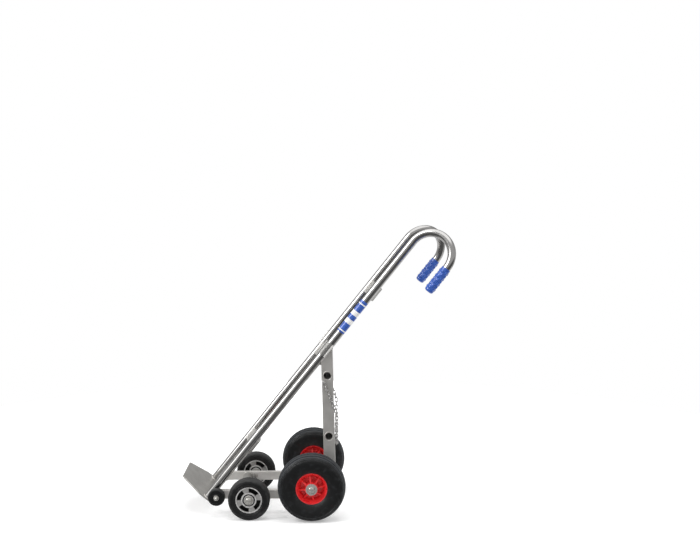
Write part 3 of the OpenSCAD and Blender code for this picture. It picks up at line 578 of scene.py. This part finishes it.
ring_rubber, tree, shader = finish("ring_rubber", Specular_IOR_Level=1.0)
cloud = noise(tree, 0.012)
tint(tree, shader, cloud, (0.0065, 0.007, 0.0075), (0.012, 0.0125, 0.013))
rough(tree, shader, cloud, 0.10, 0.20)
relief(tree, shader, noise(tree, 0.0009), 0.00004)

shoulder_rings = ((0.1111, 0.0404), (0.1163, 0.0382), (0.1204, 0.0353))
for side in ("left", "right"):
    moulded_rings(side + "_big_tyre_rings", side + "_big_wheel", shoulder_rings, 0.0012,
                  "tyre_rubber", ring_rubber)

red_plastic, tree, shader = finish("red_plastic", Coat_Weight=0.25, Coat_Roughness=0.12)
cloud = noise(tree, 0.02)
tint(tree, shader, cloud, (0.70, 0.020, 0.026), (0.84, 0.034, 0.036))
rough(tree, shader, cloud, 0.25, 0.38)
relief(tree, shader, noise(tree, 0.0012), 0.00005)
dress(red_plastic, "left_big_hub", "right_big_hub")


# Medium wheels: black rubber bands on cast alloy hubs. The floors of the four pockets and the
# groove round the collar are near black, painted shade in these recesses; the faces have a fine
# sandy skin, and the raised rims are rubbed bright.
# The lighter tread colour is dust and a painted sheen.
medium_rubber = rubber("medium_tyre_rubber", pivots["left_medium_wheel"], 0.080,
                       (0.0065, 0.0065, 0.007), (0.030, 0.030, 0.030))
dress(medium_rubber, "left_medium_tyre", "right_medium_tyre")
wall_rings = ((0.0585, 0.025), (0.0672, 0.025))
for side in ("left", "right"):
    moulded_rings(side + "_medium_tyre_rings", side + "_medium_wheel", wall_rings, 0.0007,
                  "medium_tyre_rubber", ring_rubber)

collar_r = 0.0190
pocket_r = 0.0456
face_depth = 0.0197
rim_depth = 0.0216
# Near black for the floors of the pockets and the collar groove: painted shade in these recesses.
painted_shade_black = (0.012, 0.012, 0.012)
alloy = (0.42, 0.41, 0.40)
rubbed_alloy = (0.86, 0.85, 0.84)
cast_alloy, tree, shader = finish("cast_alloy", metal=0.6)
cloud = noise(tree, 0.009)
hub_r = radius_from(tree, pivots["left_medium_wheel"])
spot = tree.nodes.new("ShaderNodeTexCoord")
parts = tree.nodes.new("ShaderNodeSeparateXYZ")
wire(tree, (spot.outputs["Object"], parts.inputs[0]))
outward = combine(tree, "ABSOLUTE", parts.outputs["Y"])
deep = combine(tree, "ABSOLUTE", combine(tree, "SUBTRACT", outward, abs(pivots["left_medium_wheel"].y)))
# Mask: 1 on the faces, rim and collar; 0 on the floors of the pockets and the groove, where the painted
# shade goes.
skin_outside_shade = ramp(tree, deep, face_depth - 0.0005, face_depth, 0, 1)
skin_outside_shade = combine(tree, "MAXIMUM", skin_outside_shade, ramp(tree, hub_r, collar_r, collar_r + 0.0002, 1, 0))
skin_outside_shade = combine(tree, "MAXIMUM", skin_outside_shade, ramp(tree, hub_r, pocket_r, pocket_r + 0.0002, 0, 1))
rubbed = ramp(tree, deep, rim_depth - 0.0008, rim_depth, 0, 0.4)
share = combine(tree, "ADD", combine(tree, "MULTIPLY", cloud, skin_outside_shade), rubbed)
stops = tint(tree, shader, share, alloy, (0.54, 0.53, 0.52))
for place, colour in ((0.12, painted_shade_black), (0.20, alloy), (0.95, rubbed_alloy)):
    stops.new(place).color = (*colour, 1)
rough(tree, shader, cloud, 0.32, 0.48)
relief(tree, shader, noise(tree, 0.0008), 0.00012)
dress(cast_alloy, "left_medium_hub", "right_medium_hub")


# Toe rollers: turned black nylon rollers on sintered bronze bushes, which run on the roller bolts
# beside the tubes' feet. Their treads are scuffed grey.
nylon = rubber("roller_nylon", pivots["left_roller"], 0.0325,
               (0.006, 0.0065, 0.007), (0.020, 0.0205, 0.021))
dress(nylon, "left_toe_roller", "right_toe_roller")

bronze, tree, shader = finish("bush_bronze", metal=0.9)
grains = noise(tree, 0.0009)
tint(tree, shader, grains, (0.36, 0.22, 0.08), (0.46, 0.30, 0.12))
rough(tree, shader, grains, 0.36, 0.5)
relief(tree, shader, grains, 0.00004)
dress(bronze, "left_roller_bush", "right_roller_bush")


# Hand grips: blue vinyl sleeves pushed over the ends of the canes. Each has staggered rows of
# six soft knobs, and is closed at its end.
blue_vinyl, tree, shader = finish("blue_vinyl", Coat_Weight=0.7, Coat_Roughness=0.07)
cloud = noise(tree, 0.012)
tint(tree, shader, cloud, (0.026, 0.080, 0.37), (0.036, 0.115, 0.47))
rough(tree, shader, cloud, 0.17, 0.27)
relief(tree, shader, noise(tree, 0.0009), 0.00004)

tube_straight = 1.273
hook_splay = math.radians(27)
hook_span = 0.174
grip_leg = 0.104
grip_end = 0.008
grip_waist = 0.0178
knobs_round = 6
knobs_along = 8
knob_pitch = 0.01265
knob_r = 0.0068
knob_h = 0.0022
knob_turn = -0.05
knob_start = 0.3
knob_fullness = 0.9
end_fullness = 0.6
knob_facets = 24


def grip_shape(side):
    """A knobbed sleeve on the end of one cane, with a rounded closed end."""
    shape = bmesh.new()
    columns = knobs_round * knob_facets
    rows = knobs_along * knob_facets
    at = (Matrix.Translation(foot) @ Matrix.Rotation(recline, 4, "Y")
          @ Matrix.Translation((0, side_y, tube_straight))
          @ Matrix.Rotation(hook_splay, 4, "Z") @ Matrix.Translation((hook_span, 0, 0)))

    def row(depth, radius, knobbed):
        """Points round the sleeve at a depth below its mouth."""
        line = int(depth / knob_pitch)
        made = []
        for column in range(columns):
            turns = column / columns
            out = radius
            if knobbed:
                for near in (line - 1, line, line + 1):
                    place = turns * knobs_round + knob_turn + 0.5 * (near % 2)
                    sideways = (place - round(place)) * 2 * math.pi * radius / knobs_round
                    off = math.hypot(sideways, depth - (near + knob_start) * knob_pitch) / knob_r
                    if 0 < near < knobs_along and off < 1:
                        out += knob_h * (1 - off * off) ** knob_fullness
            angle = 2 * math.pi * turns
            point = at @ Vector((out * math.cos(angle), out * math.sin(angle), -depth))
            made.append(shape.verts.new((point.x, side * point.y, point.z)))
        return made

    mouth = ((0.0004, tube_r + 0.0001), (0.0, tube_r + 0.0012), (0.0001, grip_waist - 0.0006))
    rings = [row(depth, radius, False) for depth, radius in mouth]
    for step in range(1, rows + 1):
        rings.append(row(grip_leg * step / rows, grip_waist, True))
    for angle in range(15, 90, 15):
        a = math.radians(angle)
        narrowed = grip_waist * math.cos(a) ** end_fullness
        rings.append(row(grip_leg + grip_end * math.sin(a), narrowed, False))
    for ring, following in zip(rings, rings[1:]):
        for k in range(columns):
            j = (k + 1) % columns
            shape.faces.new((ring[k], ring[j], following[j], following[k]))
    tip = at @ Vector((0, 0, -grip_leg - grip_end))
    tip = shape.verts.new((tip.x, side * tip.y, tip.z))
    for k in range(columns):
        shape.faces.new((rings[-1][k], rings[-1][(k + 1) % columns], tip))
    return shape


for name, side in (("left", -1), ("right", 1)):
    sleeve = piece(name + "_knobbed_grip", grip_shape(side), "frame", "grip_blue", blue_vinyl)
    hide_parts(name + "_grip")


# Marker band: a plain blue vinyl band with white bars, stuck round the left tube above the
# strut. It is thin tape, with its ends butted on the inner side of the tube.
white_vinyl, tree, shader = finish("white_vinyl")
cloud = noise(tree, 0.01)
tint(tree, shader, cloud, (0.74, 0.74, 0.74), (0.84, 0.84, 0.83))
rough(tree, shader, cloud, 0.22, 0.34)

band_from = 0.829
band_to = 0.979
band_t = 0.00018
band_lip = 0.00002
shape = bmesh.new()
columns = 48
rows = 62
bars = ((4, 6), (19, 27), (35, 43), (56, 58))
rings = []
for step in range(-1, rows + 2):
    s = band_from + (band_to - band_from) * max(0, min(rows, step)) / rows
    r = tube_r + (band_lip if step in (-1, rows + 1) else band_t)
    rings.append([shape.verts.new(on_tubes(s, r * math.cos(a), r * math.sin(a) - side_y))
                  for a in (2 * math.pi * k / columns for k in range(columns))])
for step, (ring, following) in enumerate(zip(rings, rings[1:])):
    for k in range(columns):
        j = (k + 1) % columns
        face = shape.faces.new((ring[k], ring[j], following[j], following[k]))
        face.material_index = int(any(start <= step < end for start, end in bars))
piece("marker_band", shape, "frame", "grip_blue", blue_vinyl, white_vinyl)


# Safety chain: short-link chain bent from bright zinc-plated wire, with an open hook, hung
# between two eyes on the struts. The plating is rubbed where the links touch.
chain_zinc, tree, shader = finish("chain_zinc", metal=0.85)
cloud = noise(tree, 0.003)
tint(tree, shader, cloud, (0.50, 0.495, 0.485), (0.76, 0.75, 0.74))
rough(tree, shader, cloud, 0.16, 0.3)
relief(tree, shader, noise(tree, 0.0006), 0.00002)
dress(chain_zinc, "left_chain_eye", "right_chain_eye", "left_chain_wrap", "right_chain_wrap",
      "chain_swag", "chain_hook")
